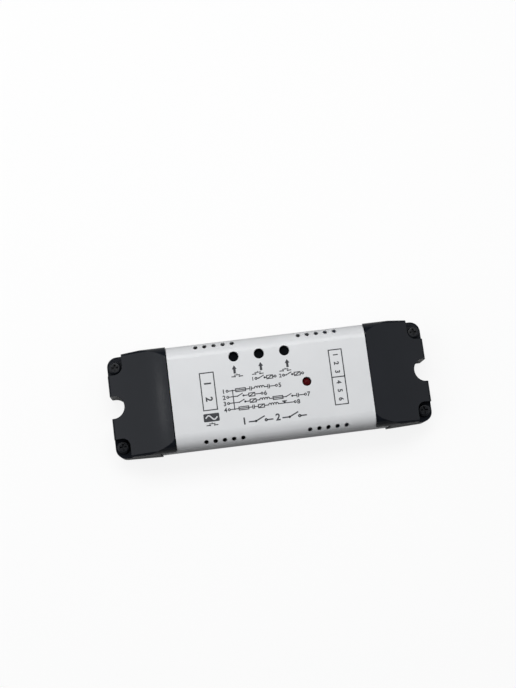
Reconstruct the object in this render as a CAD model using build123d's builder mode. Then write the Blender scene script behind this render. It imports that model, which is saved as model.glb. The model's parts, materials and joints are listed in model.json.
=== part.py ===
# Two-channel relay module: a sleeve, two end bases, two terminal covers, a board and what the board carries.
# Millimetres. X runs from the input end to the output end, Y to the back, Z up.
# The origin is at the bottom centre.

import os
from math import cos, radians, sin

from build123d import *

os.makedirs("parts", exist_ok=True)

# Case
case_length = 120.0
case_width = 39.4
case_height = 22.0
wall = 1.5
shoulder_radius = 5.4
heel_radius = 2.4
least_round = 0.3
cover_length = 22.9
base_length = 17.0
end_step = 0.4
end_taper = 0.6
corner_radius = 3.8
rim_height = 12.4
crown_rise = 0.8
rim_round = 1.5
side_round = 1.5
split_height = 7.5

# Clearances
part_gap = 0.3
slip_gap = 0.15
run_gap = 0.05
overrun = 1.0

# Mounting notches, screw pockets and cable entries
notch_width = 8.4
notch_depth = 5.3
screw_from_end = 3.0
screw_from_side = 4.7
pocket_radius = 3.0
pocket_floor = 9.5
pocket_wall = 1.2
entry_margin = 0.1
entry_sill = 4.0
entry_top = 10.0

# Cover screws
screw_head_radius = 2.3
screw_head_height = 1.8
screw_head_round = 0.7
screw_shank_radius = 1.25
screw_tip = 1.8
cross_width = 0.7
cross_span = 2.6
cross_depth = 1.0
lug_hole_radius = 1.55
boss_radius = 2.6

# End bases
base_floor = 2.0
tongue_length = 5.0
tongue_wall = 1.2
tongue_root = 1.5
pad_width = 1.8
pad_from_board_edge = 1.0
pad_length = 8.5

# Sleeve openings
vent_radius = 0.85
vent_pitch = 3.4
vents_in_group = 5
vent_group_from_middle = 19.2
vent_tilt = 44.0
vent_lean = 12.0
button_hole_radius = 1.9
button_pitch = 9.45
button_middle_x = -2.95
button_from_side = 6.85
lamp_x = 13.35
lamp_y = 0.0
lamp_hole_radius = 1.7

# Board
board_thickness = 1.6
board_lift = 1.5
board_side_gap = 0.25
board_end_gap = 0.3
rail_width = 1.4
rail_from_side = 2.5
keeper_height = 0.9
keeper_depth = 2.85

half_length = case_length / 2
half_width = case_width / 2
sleeve_width = case_width - 2 * end_step
sleeve_half = sleeve_width / 2
seam_x = half_length - cover_length
cover_edge = seam_x + part_gap / 2
sleeve_end = half_length - base_length
skirt_height = case_height - shoulder_radius
screw_x = half_length - screw_from_end
screw_y = half_width - screw_from_side
notch_radius = notch_width / 2
entry_near = notch_radius + wall + entry_margin
entry_far = screw_y - pocket_radius - pocket_wall
button_y = sleeve_half - button_from_side
board_bottom = wall + board_lift
board_top = board_bottom + board_thickness
tongue_inside = sleeve_half - wall - slip_gap - tongue_wall
board_half_width = tongue_inside - board_side_gap
pad_from_middle = board_half_width - pad_from_board_edge
board_half_length = half_length - notch_depth - wall - board_end_gap
ceiling = case_height - wall - part_gap


def save(piece, name):
    """Labels a finished piece and writes its file."""
    piece.part.label = name
    export_step(piece.part, f"parts/{name}.step")


def tube_section(width, inset):
    """The outline across X of the sleeve or of the slightly wider covers, moved inward."""
    with BuildSketch() as outline:
        with Locations((0, case_height / 2)):
            Rectangle(width - 2 * inset, case_height - 2 * inset)
        fillet(outline.vertices().group_by(Axis.Y)[-1], max(shoulder_radius - inset, least_round))
        fillet(outline.vertices().group_by(Axis.Y)[0], max(heel_radius - inset, least_round))
    return outline.sketch


def end_plan(start, inset):
    """One end's outline from above, with its tapered sides, round corners and mounting notch."""
    side = half_width - inset
    tip = half_length - inset
    slot_radius = notch_radius + inset
    slot_centre = half_length - notch_depth + notch_radius
    with BuildSketch() as outline:
        with BuildLine():
            Polyline(
                (0, -side), (sleeve_end, -side), (tip, end_taper - side),
                (tip, side - end_taper), (sleeve_end, side), (0, side), close=True,
            )
        make_face()
        with Locations((start, 0)):
            Rectangle(half_length, case_width, align=(Align.MAX, Align.CENTER), mode=Mode.SUBTRACT)
        fillet(outline.vertices().group_by(Axis.X)[-1], max(corner_radius - inset, least_round))
        with Locations((slot_centre, 0)):
            Circle(slot_radius, mode=Mode.SUBTRACT)
            Rectangle(
                half_length - slot_centre + overrun, 2 * slot_radius,
                align=(Align.MIN, Align.CENTER), mode=Mode.SUBTRACT,
            )
    return outline.sketch


def pocket_plan(grow):
    """Both screw pockets of one end from above: round about the screw and open to the two outer sides."""
    reach = pocket_radius + grow
    with BuildSketch() as outline:
        with Locations((screw_x - reach, screw_y - reach)):
            Rectangle(
                screw_from_end + reach + overrun, screw_from_side + reach + overrun,
                align=(Align.MIN, Align.MIN),
            )
        fillet(outline.vertices().group_by(Axis.X)[0].sort_by(Axis.Y)[0], reach)
        mirror(about=Plane.XZ)
    return outline.sketch


def cover_profile(low, inset):
    """A cover's outline along X: it falls from the seam in a shallow curve to a rounded rim."""
    tip = half_length - inset
    crown = case_height - inset
    rim = rim_height - inset
    with BuildSketch() as outline:
        with BuildLine():
            ThreePointArc(
                (cover_edge, crown), ((cover_edge + tip) / 2, (crown + rim) / 2 + crown_rise), (tip, rim)
            )
            Polyline((tip, rim), (tip, low), (cover_edge, low), (cover_edge, crown))
        make_face()
        fillet(outline.vertices().group_by(Axis.X)[-1].sort_by(Axis.Y)[-1], rim_round)
    return outline.sketch


def entry_plan(low, high):
    """Both cable entries of one end, seen along X."""
    with BuildSketch() as outline:
        for side in (-1, 1):
            with Locations((side * (entry_near + entry_far) / 2, (low + high) / 2)):
                Rectangle(entry_far - entry_near, high - low)
    return outline.sketch


# Sleeve
with BuildPart() as sleeve:
    with BuildSketch(Plane.YZ):
        add(tube_section(sleeve_width, 0))
    extrude(amount=sleeve_end, both=True)
    with BuildSketch(Plane.YZ):
        add(tube_section(sleeve_width, wall))
    extrude(amount=sleeve_end + overrun, both=True, mode=Mode.SUBTRACT)
    # The top stops at the seams, where the covers take over
    for side in (-1, 1):
        with Locations((side * (seam_x - part_gap / 2), 0, skirt_height)):
            Box(
                base_length + cover_length, case_width + 2 * overrun, shoulder_radius + overrun,
                align=(Align.MIN if side > 0 else Align.MAX, Align.CENTER, Align.MIN), mode=Mode.SUBTRACT,
            )
    # Rails under the board and keepers over its edges
    with Locations(*[(0, side * (sleeve_half - wall - rail_from_side), wall / 2) for side in (-1, 1)]):
        Box(
            2 * (sleeve_end - tongue_length - slip_gap), rail_width, board_bottom - wall / 2,
            align=(Align.CENTER, Align.CENTER, Align.MIN),
        )
    for side in (-1, 1):
        with Locations((0, side * (sleeve_half - wall / 2), board_top + slip_gap)):
            Box(
                2 * (sleeve_end - tongue_length - slip_gap), keeper_depth, keeper_height,
                align=(Align.CENTER, Align.MAX if side > 0 else Align.MIN, Align.MIN),
            )
    # Vents through the shoulders, leaning a little outward
    vent_shares = [step - (vents_in_group - 1) / 2 for step in range(vents_in_group)]
    vent_places = [
        (group * vent_group_from_middle + share * vent_pitch, 0) for group in (-1, 1) for share in vent_shares
    ]
    for side in (-1, 1):
        tilt, lean = radians(vent_tilt), radians(vent_lean)
        vent_plane = Plane(
            origin=(
                0,
                side * (sleeve_half - shoulder_radius + shoulder_radius * sin(tilt)),
                skirt_height + shoulder_radius * cos(tilt),
            ),
            x_dir=(1, 0, 0),
            z_dir=(0, side * sin(lean), cos(lean)),
        )
        with BuildSketch(vent_plane):
            with Locations(*vent_places):
                Circle(vent_radius)
        extrude(amount=2 * wall + overrun, both=True, mode=Mode.SUBTRACT)
    # Button and lamp holes
    with Locations((0, 0, case_height)):
        with Locations(*[(button_middle_x + step * button_pitch, button_y) for step in (-1, 0, 1)]):
            Cylinder(button_hole_radius, 2 * (wall + overrun), mode=Mode.SUBTRACT)
        with Locations((lamp_x, lamp_y)):
            Cylinder(lamp_hole_radius, 2 * (wall + overrun), mode=Mode.SUBTRACT)
save(sleeve, "sleeve")

# Output end base
with BuildPart() as output_base:
    with BuildSketch():
        add(end_plan(sleeve_end, 0))
    extrude(amount=split_height)
    with BuildSketch(Plane.XY.offset(base_floor)):
        add(end_plan(sleeve_end - overrun, wall))
    extrude(amount=case_height, mode=Mode.SUBTRACT)
    # Tongue that plugs into the sleeve, with a thicker root inside the base
    with BuildSketch(Plane.YZ.offset(sleeve_end - tongue_length)):
        add(tube_section(sleeve_width, wall + slip_gap))
    extrude(amount=tongue_length)
    with BuildSketch(Plane.YZ.offset(sleeve_end)):
        add(tube_section(sleeve_width, wall / 2))
    extrude(amount=tongue_root)
    with BuildSketch(Plane.YZ.offset(sleeve_end - tongue_length - overrun)):
        with Locations((0, wall + slip_gap + tongue_wall)):
            Rectangle(2 * tongue_inside, case_height, align=(Align.CENTER, Align.MIN))
    extrude(amount=tongue_length + tongue_root + 2 * overrun, mode=Mode.SUBTRACT)
    with Locations((0, 0, split_height)):
        Box(
            case_length, case_width + 2 * overrun, case_height,
            align=(Align.CENTER, Align.CENTER, Align.MIN), mode=Mode.SUBTRACT,
        )
    # Pads under the board
    with Locations(*[(sleeve_end, side * pad_from_middle, base_floor / 2) for side in (-1, 1)]):
        Box(
            pad_length, pad_width, board_bottom - base_floor / 2,
            align=(Align.MIN, Align.CENTER, Align.MIN),
        )
    # Screw bosses with their pilot holes
    with Locations(*[(screw_x, side * screw_y, base_floor / 2) for side in (-1, 1)]):
        Cylinder(boss_radius, split_height - base_floor / 2, align=(Align.CENTER, Align.CENTER, Align.MIN))
    with Locations(*[(screw_x, side * screw_y, screw_tip - part_gap) for side in (-1, 1)]):
        Cylinder(
            screw_shank_radius + run_gap, case_height,
            align=(Align.CENTER, Align.CENTER, Align.MIN), mode=Mode.SUBTRACT,
        )
    # Lower halves of the cable entries
    with BuildSketch(Plane.YZ.offset(half_length - wall - overrun)):
        add(entry_plan(entry_sill, split_height + overrun))
    extrude(amount=wall + 2 * overrun, mode=Mode.SUBTRACT)
save(output_base, "output_base")

# Input end base, the same piece turned to the other end
with BuildPart() as input_base:
    mirror(output_base.part, about=Plane.YZ)
save(input_base, "input_base")

# Space inside a cover
with BuildPart() as cover_space:
    with BuildSketch():
        add(end_plan(cover_edge - overrun, wall))
        add(pocket_plan(pocket_wall), mode=Mode.SUBTRACT)
    extrude(amount=case_height)
    with BuildSketch(Plane.YZ):
        add(tube_section(case_width, wall))
    extrude(amount=half_length, mode=Mode.INTERSECT)
    with BuildSketch(Plane.XZ):
        add(cover_profile(0, wall))
        with Locations((cover_edge, 0)):
            Rectangle(overrun, case_height - wall, align=(Align.MAX, Align.MIN))
    extrude(amount=half_width, both=True, mode=Mode.INTERSECT)

# A disc about the centre of the cover's crest, which rounds the top where it meets the side walls
crest = cover_profile(0, 0).edges().filter_by(GeomType.CIRCLE).sort_by(SortBy.RADIUS)[-1]
with BuildPart() as crest_disc:
    with Locations((crest.arc_center.X, 0, crest.arc_center.Y)):
        Cylinder(crest.radius, case_width, rotation=(90, 0, 0))
    fillet(crest_disc.edges().filter_by(GeomType.CIRCLE), side_round)

# Output cover
with BuildPart() as output_cover:
    with BuildSketch():
        add(end_plan(cover_edge, 0))
    extrude(amount=case_height)
    with BuildSketch(Plane.YZ):
        add(tube_section(case_width, 0))
    extrude(amount=half_length, mode=Mode.INTERSECT)
    add(crest_disc.part, mode=Mode.INTERSECT)
    with BuildSketch(Plane.XZ):
        add(cover_profile(split_height + part_gap, 0))
        with Locations((cover_edge - overrun, 0)):
            Rectangle(
                sleeve_end + part_gap - cover_edge + overrun, skirt_height + part_gap,
                align=(Align.MIN, Align.MIN), mode=Mode.SUBTRACT,
            )
    extrude(amount=half_width, both=True, mode=Mode.INTERSECT)
    add(cover_space.part, mode=Mode.SUBTRACT)
    with BuildSketch(Plane.XY.offset(pocket_floor)):
        add(pocket_plan(0))
    extrude(amount=case_height, mode=Mode.SUBTRACT)
    with Locations(*[(screw_x, side * screw_y, pocket_floor) for side in (-1, 1)]):
        Cylinder(lug_hole_radius, case_height, mode=Mode.SUBTRACT)
    with BuildSketch(Plane.YZ.offset(half_length - wall - overrun)):
        add(entry_plan(split_height - overrun, entry_top))
    extrude(amount=wall + 2 * overrun, mode=Mode.SUBTRACT)
save(output_cover, "output_cover")

# Input cover
with BuildPart() as input_cover:
    mirror(output_cover.part, about=Plane.YZ)
save(input_cover, "input_cover")

# Cover screws, two at each end
with BuildPart() as output_cover_screws:
    with Locations(*[(screw_x, side * screw_y, pocket_floor) for side in (-1, 1)]):
        Cylinder(screw_head_radius, screw_head_height, align=(Align.CENTER, Align.CENTER, Align.MIN))
    fillet(output_cover_screws.edges().group_by(Axis.Z)[-1], screw_head_round)
    with Locations(*[(screw_x, side * screw_y, screw_tip) for side in (-1, 1)]):
        Cylinder(
            screw_shank_radius, pocket_floor + screw_head_round - screw_tip,
            align=(Align.CENTER, Align.CENTER, Align.MIN),
        )
    with Locations(*[(screw_x, side * screw_y, pocket_floor + screw_head_height) for side in (-1, 1)]):
        Box(cross_span, cross_width, 2 * cross_depth, mode=Mode.SUBTRACT)
        Box(cross_width, cross_span, 2 * cross_depth, mode=Mode.SUBTRACT)
save(output_cover_screws, "output_cover_screws")

with BuildPart() as input_cover_screws:
    mirror(output_cover_screws.part, about=Plane.YZ)
save(input_cover_screws, "input_cover_screws")

# Terminals: a housing, and for each pole a bar with its pin, a clamp, and the screw that draws it up
pole_pitch = 5.0
input_poles = 2
output_poles = 3
terminal_depth = 8.0
terminal_height = 9.6
terminal_front_wall = 1.0
terminal_floor = 0.8
terminal_from_end = 8.5
clamp_length = 4.0
clamp_width = 3.6
clamp_height = 5.0
clamp_side = 0.5
clamp_bottom = 0.8
clamp_top = 1.0
clamp_travel = 1.4
clamp_gap = 0.2
bar_width = 2.2
bar_thickness = 0.8
bar_over_clamp = 0.3
pin_width = 1.0
pin_hole_radius = 0.75
pin_tail = 0.7
mouth_width = 3.2
mouth_rise = 0.4
web_thickness = 0.6
pole_screw_radius = 1.25
pole_head_radius = 1.85
pole_head_height = 1.0
pole_head_gap = 0.2
pole_slot_width = 0.7
pole_slot_depth = 0.6

terminal_front = half_length - terminal_from_end
terminal_rear = terminal_front - terminal_depth
clamp_rear = terminal_front - terminal_front_wall - clamp_gap - clamp_length
bar_rear = clamp_rear - clamp_gap - bar_thickness
clamp_low = board_top + terminal_floor + clamp_gap
cavity_top = clamp_low + clamp_height + clamp_travel + clamp_gap
head_seat = cavity_top + web_thickness
bar_top = clamp_low + clamp_height - clamp_top - bar_over_clamp


def pole_places(poles, middle):
    """The places in Y of a block's poles."""
    return [middle + (step - (poles - 1) / 2) * pole_pitch for step in range(poles)]


def end_box(side, near, far, width, low, high, places, mode=Mode.ADD):
    """A box from near to far along X at each place in Y, on the end that side names."""
    with BuildPart(mode=Mode.PRIVATE) as boxes:
        with Locations(*[(side * (near + far) / 2, y, (low + high) / 2) for y in places]):
            Box(far - near, width, high - low)
    return boxes.part


low_end, high_end = -1, 1
block_offset = output_poles * pole_pitch / 2
blocks = {
    "input_terminal_block": (low_end, pole_places(input_poles, 0)),
    "output_terminal_block_1": (high_end, pole_places(output_poles, -block_offset)),
    "output_terminal_block_2": (high_end, pole_places(output_poles, block_offset)),
}
poles = [(side, y) for side, places in blocks.values() for y in places]

for name, (side, places) in blocks.items():
    middle = sum(places) / len(places)
    with BuildPart() as terminal_block:
        with Locations((side * (terminal_front - terminal_depth / 2), middle, board_top)):
            Box(
                terminal_depth, pole_pitch * len(places) - slip_gap, terminal_height,
                align=(Align.CENTER, Align.CENTER, Align.MIN),
            )
        add(
            end_box(
                side, bar_rear - clamp_gap, terminal_front - terminal_front_wall,
                clamp_width + 2 * clamp_gap, board_top + terminal_floor, cavity_top, places,
            ),
            mode=Mode.SUBTRACT,
        )
        add(
            end_box(
                side, clamp_rear, terminal_front + overrun, mouth_width,
                clamp_low + mouth_rise, bar_top, places,
            ),
            mode=Mode.SUBTRACT,
        )
        with Locations(*[(side * (clamp_rear + clamp_length / 2), y, head_seat) for y in places]):
            Cylinder(
                pole_head_radius + clamp_gap, terminal_height,
                align=(Align.CENTER, Align.CENTER, Align.MIN), mode=Mode.SUBTRACT,
            )
            Cylinder(pole_screw_radius + run_gap, 2 * (web_thickness + overrun), mode=Mode.SUBTRACT)
        with Locations(*[(side * (bar_rear + bar_thickness / 2), y, board_top) for y in places]):
            Cylinder(pin_hole_radius, 2 * (terminal_floor + overrun), mode=Mode.SUBTRACT)
    save(terminal_block, name)

for number, (side, y) in enumerate(poles, start=1):
    clamp_middle = side * (clamp_rear + clamp_length / 2)
    with BuildPart() as terminal_clamp:
        with Locations((clamp_middle, y, clamp_low)):
            Box(clamp_length, clamp_width, clamp_height, align=(Align.CENTER, Align.CENTER, Align.MIN))
        with Locations((clamp_middle, y, clamp_low + clamp_bottom)):
            Box(
                clamp_length + 2 * overrun, clamp_width - 2 * clamp_side,
                clamp_height - clamp_bottom - clamp_top,
                align=(Align.CENTER, Align.CENTER, Align.MIN), mode=Mode.SUBTRACT,
            )
        with Locations((clamp_middle, y, clamp_low + clamp_height)):
            Cylinder(pole_screw_radius + run_gap, 2 * (clamp_top + overrun / 2), mode=Mode.SUBTRACT)
    save(terminal_clamp, f"terminal_clamp_{number}")
    with BuildPart() as terminal_screw:
        with Locations((clamp_middle, y, bar_top + clamp_gap)):
            Cylinder(
                pole_screw_radius, head_seat + pole_head_gap - bar_top,
                align=(Align.CENTER, Align.CENTER, Align.MIN),
            )
        with Locations((clamp_middle, y, head_seat + pole_head_gap)):
            Cylinder(pole_head_radius, pole_head_height, align=(Align.CENTER, Align.CENTER, Align.MIN))
        with Locations((clamp_middle, y, head_seat + pole_head_gap + pole_head_height)):
            Box(2 * pole_head_radius, pole_slot_width, 2 * pole_slot_depth, mode=Mode.SUBTRACT)
    save(terminal_screw, f"terminal_screw_{number}")

with BuildPart() as terminal_bars:
    for side, y in poles:
        bar_low, pin_low = bar_top - bar_thickness, board_bottom - pin_tail
        add(end_box(side, bar_rear, clamp_rear + clamp_length, bar_width, bar_low, bar_top, [y]))
        add(end_box(side, bar_rear, bar_rear + bar_thickness, pin_width, pin_low, bar_top, [y]))
save(terminal_bars, "terminal_bars")

# Relays: a changeover relay with an upright coil, a yoke, and an armature on the yoke's top edge
relay_length = 19.0
relay_width = 15.2
relay_headroom = 0.3
relay_wall = 0.8
relay_round = 0.6
relay_from_terminals = 6.5
relay_between = 0.6
relay_floor = 1.4
relay_foot_gap = 0.2
yoke_thickness = 1.2
yoke_width = 9.0
yoke_from_end = 1.6
core_radius = 2.0
core_from_middle = -0.6
pole_shoe_step = 1.7
pole_shoe_height = 0.5
coil_gap = 1.2
flange_height = 0.8
winding_step = 0.3
tube_wall = 0.8
core_fit = 0.1
armature_gap = 0.15
armature_lift = 0.5
armature_overhang = 1.3
arm_thickness = 0.4
arm_width = 4.0
contact_radius = 1.2
contact_height = 0.4
contact_gap = 0.15
contact_stroke = 0.75
contact_from_strip = 1.5
strip_thickness = 0.4
strip_width = 2.4
strip_from_end = 1.6
strip_side = 3.4
strip_headroom = 0.6
relay_pin_radius = 0.5
relay_pin_hole_radius = 0.6
coil_pin_side = 5.8
coil_pin_from_end = 2.2
relay_pin_tail = 1.1

relay_bottom = board_top
relay_height = ceiling - relay_headroom - relay_bottom
relay_end = terminal_rear - relay_from_terminals
relay_middle_x = relay_end - relay_length / 2
relay_spacing = relay_width + relay_between
yoke_x = relay_end - relay_length + yoke_from_end
core_x = relay_middle_x + core_from_middle
common_pin_x = yoke_x + yoke_thickness / 2
coil_pin_x = relay_end - coil_pin_from_end
strip_x = relay_end - strip_from_end
strip_leg_x = strip_x - strip_thickness / 2
moving_x = strip_x - contact_from_strip

# Heights in a relay, from its top down to the coil, which takes what is left
closed_strip_low = relay_bottom + relay_height - relay_wall - strip_headroom - strip_thickness
moving_top = closed_strip_low - contact_height - contact_gap
arm_low = moving_top - contact_height - arm_thickness
moving_low = arm_low - contact_height
open_strip_top = moving_low - contact_stroke - contact_height
armature_low = arm_low - (yoke_thickness - arm_thickness) / 2
yoke_top = armature_low - armature_gap
shoe_top = yoke_top - armature_lift
coil_top = shoe_top - pole_shoe_height
yoke_low = relay_bottom + relay_floor
coil_low = yoke_low + yoke_thickness
coil_height = coil_top - coil_low

# The coil is as wide as the yoke leaves, and the armature reaches past its pole shoe to the contacts
flange_radius = core_x - yoke_x - yoke_thickness - coil_gap
winding_radius = flange_radius - winding_step
pole_shoe_radius = flange_radius - pole_shoe_step
armature_end = core_x + pole_shoe_radius + armature_overhang
armature_length = armature_end - yoke_x
arm_reach = moving_x + contact_radius - armature_end

relay_middles = [side * relay_spacing / 2 for side in (-1, 1)]


def round_pin_places(middle):
    """Where one relay's coil and common pins pass the board."""
    return [(coil_pin_x, middle + side * coil_pin_side) for side in (-1, 1)] + [(common_pin_x, middle)]


def relay_pin_places(middle):
    """Where all of one relay's pins pass the board, those of its fixed contacts included."""
    return round_pin_places(middle) + [(strip_leg_x, middle + side * strip_side) for side in (-1, 1)]


for number, middle in enumerate(relay_middles, start=1):
    with BuildPart() as relay_case:
        with Locations((relay_middle_x, middle, relay_bottom + relay_foot_gap)):
            Box(
                relay_length, relay_width, relay_height - relay_foot_gap,
                align=(Align.CENTER, Align.CENTER, Align.MIN),
            )
        fillet(relay_case.edges().filter_by(Axis.Z), relay_round)
        fillet(relay_case.edges().group_by(Axis.Z)[-1], relay_round)
        with Locations((relay_middle_x, middle, relay_bottom)):
            Box(
                relay_length - 2 * relay_wall, relay_width - 2 * relay_wall, relay_height - relay_wall,
                align=(Align.CENTER, Align.CENTER, Align.MIN), mode=Mode.SUBTRACT,
            )
    save(relay_case, f"relay_{number}_case")

    with BuildPart() as relay_base:
        with Locations((relay_middle_x, middle, relay_bottom)):
            Box(
                relay_length - 2 * (relay_wall + slip_gap), relay_width - 2 * (relay_wall + slip_gap),
                relay_floor, align=(Align.CENTER, Align.CENTER, Align.MIN),
            )
        with Locations(*[(x, y, relay_bottom) for x, y in relay_pin_places(middle)]):
            Cylinder(relay_pin_hole_radius, 2 * (relay_floor + overrun), mode=Mode.SUBTRACT)
    save(relay_base, f"relay_{number}_base")

    with BuildPart() as relay_yoke:
        with Locations((yoke_x, middle, yoke_low)):
            Box(
                core_x + core_radius - yoke_x, yoke_width, yoke_thickness,
                align=(Align.MIN, Align.CENTER, Align.MIN),
            )
            Box(
                yoke_thickness, yoke_width, yoke_top - yoke_low,
                align=(Align.MIN, Align.CENTER, Align.MIN),
            )
        with Locations((core_x, middle, yoke_low)):
            Cylinder(core_radius, shoe_top - yoke_low, align=(Align.CENTER, Align.CENTER, Align.MIN))
        with Locations((core_x, middle, coil_top)):
            Cylinder(pole_shoe_radius, pole_shoe_height, align=(Align.CENTER, Align.CENTER, Align.MIN))
    save(relay_yoke, f"relay_{number}_yoke")

    with BuildPart() as relay_bobbin:
        with Locations((core_x, middle, coil_low)):
            Cylinder(flange_radius, flange_height, align=(Align.CENTER, Align.CENTER, Align.MIN))
            Cylinder(
                core_radius + core_fit + tube_wall, coil_height,
                align=(Align.CENTER, Align.CENTER, Align.MIN),
            )
        with Locations((core_x, middle, coil_top)):
            Cylinder(flange_radius, flange_height, align=(Align.CENTER, Align.CENTER, Align.MAX))
        with Locations((core_x, middle, coil_low)):
            Cylinder(core_radius + core_fit, 2 * (coil_height + overrun), mode=Mode.SUBTRACT)
    save(relay_bobbin, f"relay_{number}_bobbin")

    with BuildPart() as relay_winding:
        with Locations((core_x, middle, coil_low + flange_height)):
            Cylinder(
                winding_radius, coil_height - 2 * flange_height,
                align=(Align.CENTER, Align.CENTER, Align.MIN),
            )
            Cylinder(
                core_radius + core_fit + tube_wall, coil_height,
                align=(Align.CENTER, Align.CENTER, Align.MIN), mode=Mode.SUBTRACT,
            )
    save(relay_winding, f"relay_{number}_winding")

    with BuildPart() as relay_armature:
        with Locations((yoke_x, middle, armature_low)):
            Box(
                armature_length, yoke_width, yoke_thickness, align=(Align.MIN, Align.CENTER, Align.MIN)
            )
        with Locations((armature_end, middle, arm_low)):
            Box(arm_reach, arm_width, arm_thickness, align=(Align.MIN, Align.CENTER, Align.MIN))
        with Locations((moving_x, middle, moving_low)):
            Cylinder(
                contact_radius, moving_top - moving_low, align=(Align.CENTER, Align.CENTER, Align.MIN)
            )
    save(relay_armature, f"relay_{number}_armature")

    with BuildPart() as relay_contacts:
        for side, contact_low, strip_low in (
            (1, moving_top + contact_gap, closed_strip_low),
            (-1, open_strip_top, open_strip_top - strip_thickness),
        ):
            with Locations((moving_x, middle, contact_low)):
                Cylinder(contact_radius, contact_height, align=(Align.CENTER, Align.CENTER, Align.MIN))
            with Locations((moving_x - contact_radius, middle, strip_low)):
                Box(
                    strip_x - moving_x + contact_radius, 2 * contact_radius, strip_thickness,
                    align=(Align.MIN, Align.CENTER, Align.MIN),
                )
            with Locations((strip_x, middle + side * strip_side, yoke_low)):
                Box(
                    strip_thickness, strip_width, strip_low + strip_thickness - yoke_low,
                    align=(Align.MAX, Align.CENTER, Align.MIN),
                )
            with Locations((strip_x, middle + side * strip_side / 2, strip_low)):
                Box(
                    strip_thickness, strip_side, strip_thickness,
                    align=(Align.MAX, Align.CENTER, Align.MIN),
                )
            with Locations((strip_leg_x, middle + side * strip_side, board_bottom - relay_pin_tail)):
                Cylinder(
                    relay_pin_radius, yoke_low - board_bottom + relay_pin_tail,
                    align=(Align.CENTER, Align.CENTER, Align.MIN),
                )
        with Locations(*[(x, y, board_bottom - relay_pin_tail) for x, y in round_pin_places(middle)]):
            Cylinder(
                relay_pin_radius, yoke_low - board_bottom + relay_pin_tail,
                align=(Align.CENTER, Align.CENTER, Align.MIN),
            )
    save(relay_contacts, f"relay_{number}_contacts")

# Buttons: three tact switches, each with a long stem that ends under its hole in the sleeve
tact_width = 6.0
tact_height = 3.3
tact_plate = 0.3
tact_well_radius = 2.4
tact_well_floor = 1.2
stem_radius = 1.72
stem_flange_radius = 2.2
stem_flange_height = 0.7
stem_gap = 0.1
stem_lift = 1.0

button_xs = [button_middle_x + step * button_pitch for step in (-1, 0, 1)]
tact_seats = [(x, button_y, board_top) for x in button_xs]

with BuildPart() as switch_bodies:
    with Locations(*tact_seats):
        Box(tact_width, tact_width, tact_height, align=(Align.CENTER, Align.CENTER, Align.MIN))
    with Locations(*[(x, button_y, board_top + tact_well_floor) for x in button_xs]):
        Cylinder(
            tact_well_radius, tact_height, align=(Align.CENTER, Align.CENTER, Align.MIN),
            mode=Mode.SUBTRACT,
        )
save(switch_bodies, "switch_bodies")

with BuildPart() as switch_plates:
    with Locations(*[(x, button_y, board_top + tact_height) for x in button_xs]):
        Box(tact_width, tact_width, tact_plate, align=(Align.CENTER, Align.CENTER, Align.MIN))
        Cylinder(stem_radius + stem_gap, 2 * (tact_plate + overrun), mode=Mode.SUBTRACT)
save(switch_plates, "switch_plates")

for name, x in zip(("reset_button", "manual_button_1", "manual_button_2"), button_xs):
    with BuildPart() as button:
        with Locations((x, button_y, board_top + tact_well_floor + stem_lift)):
            Cylinder(
                stem_flange_radius, stem_flange_height, align=(Align.CENTER, Align.CENTER, Align.MIN)
            )
            Cylinder(
                stem_radius, ceiling - board_top - tact_well_floor - stem_lift,
                align=(Align.CENTER, Align.CENTER, Align.MIN),
            )
    save(button, name)

# Status lamp on its long leads
lamp_recess = 0.5
lamp_radius = 1.5
lamp_height = 5.3
lamp_flange_radius = 1.9
lamp_flange_height = 1.0
lead_width = 0.5
lead_pitch = 2.54
lead_hole_radius = 0.45
lead_tail = 1.1

lamp_top = case_height - lamp_recess
lamp_low = lamp_top - lamp_height
lead_places = [(lamp_x + side * lead_pitch / 2, lamp_y) for side in (-1, 1)]

with BuildPart() as status_lamp:
    with Locations((lamp_x, lamp_y, lamp_low)):
        Cylinder(lamp_flange_radius, lamp_flange_height, align=(Align.CENTER, Align.CENTER, Align.MIN))
        Cylinder(lamp_radius, lamp_height - lamp_radius, align=(Align.CENTER, Align.CENTER, Align.MIN))
    with Locations((lamp_x, lamp_y, lamp_top - lamp_radius)):
        Sphere(lamp_radius)
save(status_lamp, "status_lamp")

with BuildPart() as lamp_leads:
    with Locations(*[(x, y, board_bottom - lead_tail) for x, y in lead_places]):
        Box(
            lead_width, lead_width, lamp_low - board_bottom + lead_tail,
            align=(Align.CENTER, Align.CENTER, Align.MIN),
        )
save(lamp_leads, "lamp_leads")

# Supply, on the input half of the board
transformer_from_terminals = 21.0
transformer_from_edge = 10.4
transformer_foot_length = 14.0
transformer_foot_width = 15.0
transformer_foot_height = 2.4
transformer_foot_round = 0.6
core_length = 13.4
core_width = 6.2
core_headroom = 2.2
core_leg = 2.6
core_middle_leg = 3.6
winding_gap = 0.2
winding_round = 1.6

transformer_x = transformer_from_terminals - terminal_rear
transformer_y = transformer_from_edge - board_half_width
core_low = board_top + transformer_foot_height
core_height = ceiling - core_headroom - core_low
window_low = core_low + core_leg
window_height = core_height - 2 * core_leg
window_length = (core_length - core_middle_leg) / 2 - core_leg

with BuildPart() as transformer_bobbin:
    with Locations((transformer_x, transformer_y, board_top)):
        Box(
            transformer_foot_length, transformer_foot_width, transformer_foot_height,
            align=(Align.CENTER, Align.CENTER, Align.MIN),
        )
    fillet(transformer_bobbin.edges().filter_by(Axis.Z), transformer_foot_round)
save(transformer_bobbin, "transformer_bobbin")

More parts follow.
